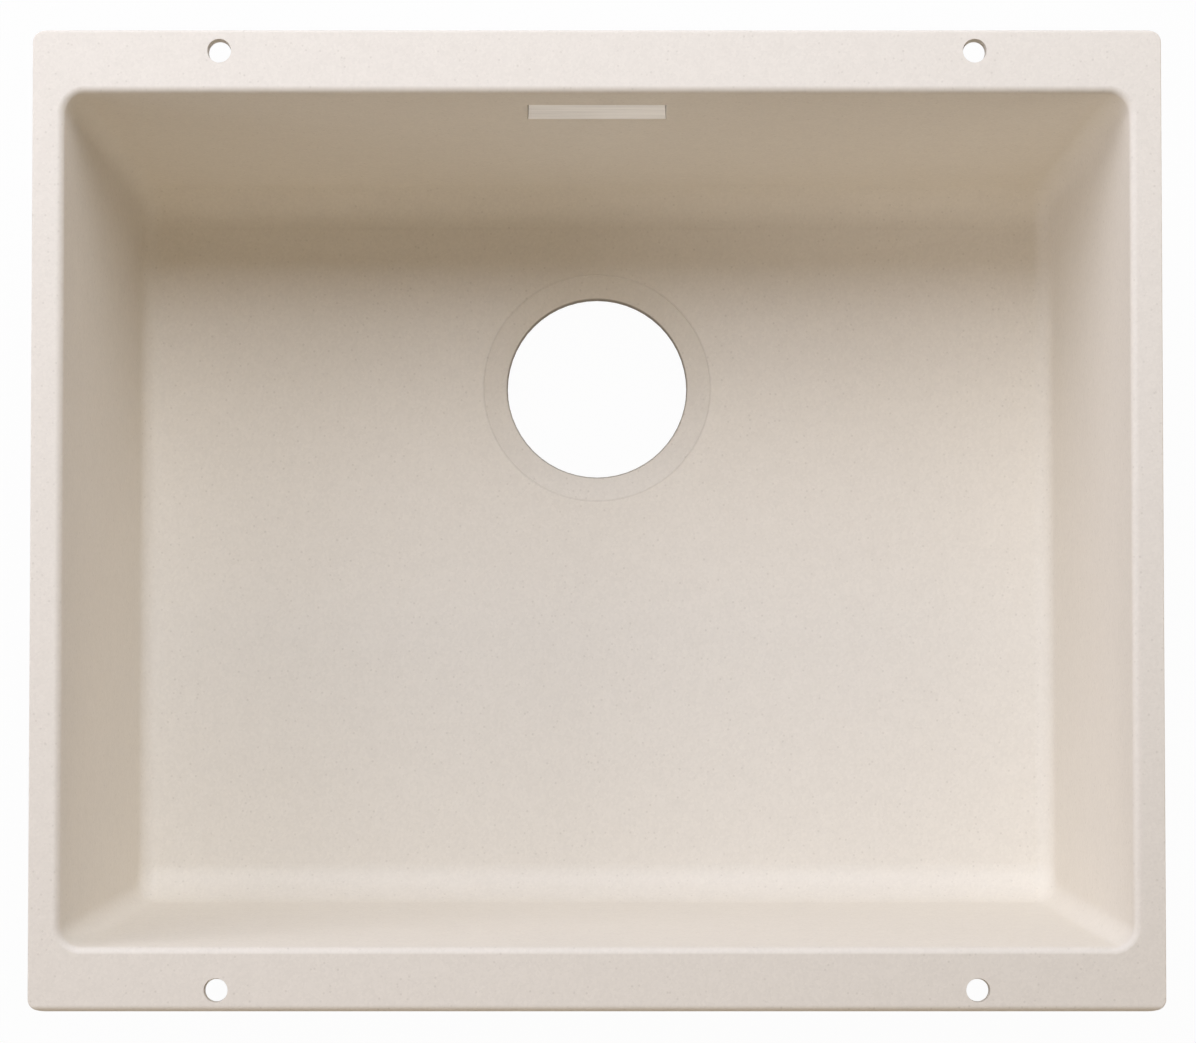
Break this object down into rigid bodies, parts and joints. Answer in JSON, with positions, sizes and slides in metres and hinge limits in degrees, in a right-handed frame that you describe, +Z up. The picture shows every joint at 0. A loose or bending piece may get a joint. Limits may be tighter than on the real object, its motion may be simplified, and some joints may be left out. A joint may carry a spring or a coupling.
{
  "type": "undermount kitchen sink",
  "caption": "Rectangular composite bowl with a flat drilled flange, a drain hole near the rear and an overflow slot with a brushed steel cover in the rear wall.",
  "frame": {"origin": "middle of the flange's top face, which is also the middle of the four fixing holes", "axes": "+X to the right along the long side, +Y to the rear wall with the overflow, +Z up"},
  "size_m": [0.53, 0.46, 0.202],
  "materials": {
    "quartz_composite": "matte cast quartz and acrylic composite, soft white with fine grain",
    "cover_steel": "stainless steel sheet, brushed along its length",
    "seal_rubber": "black EPDM sheet",
    "housing_plastic": "white polypropylene, fine moulded texture",
    "screw_steel": "stainless steel",
    "insert_brass": "turned brass"
  },
  "bodies": {
    "root": {"sink_bowl": "quartz_composite", "overflow_cover": "cover_steel", "overflow_seal": "seal_rubber", "overflow_housing": "housing_plastic", "overflow_screw_left": "screw_steel", "overflow_screw_right": "screw_steel", "overflow_insert_left": "insert_brass", "overflow_insert_right": "insert_brass"}
  },
  "joints": []
}
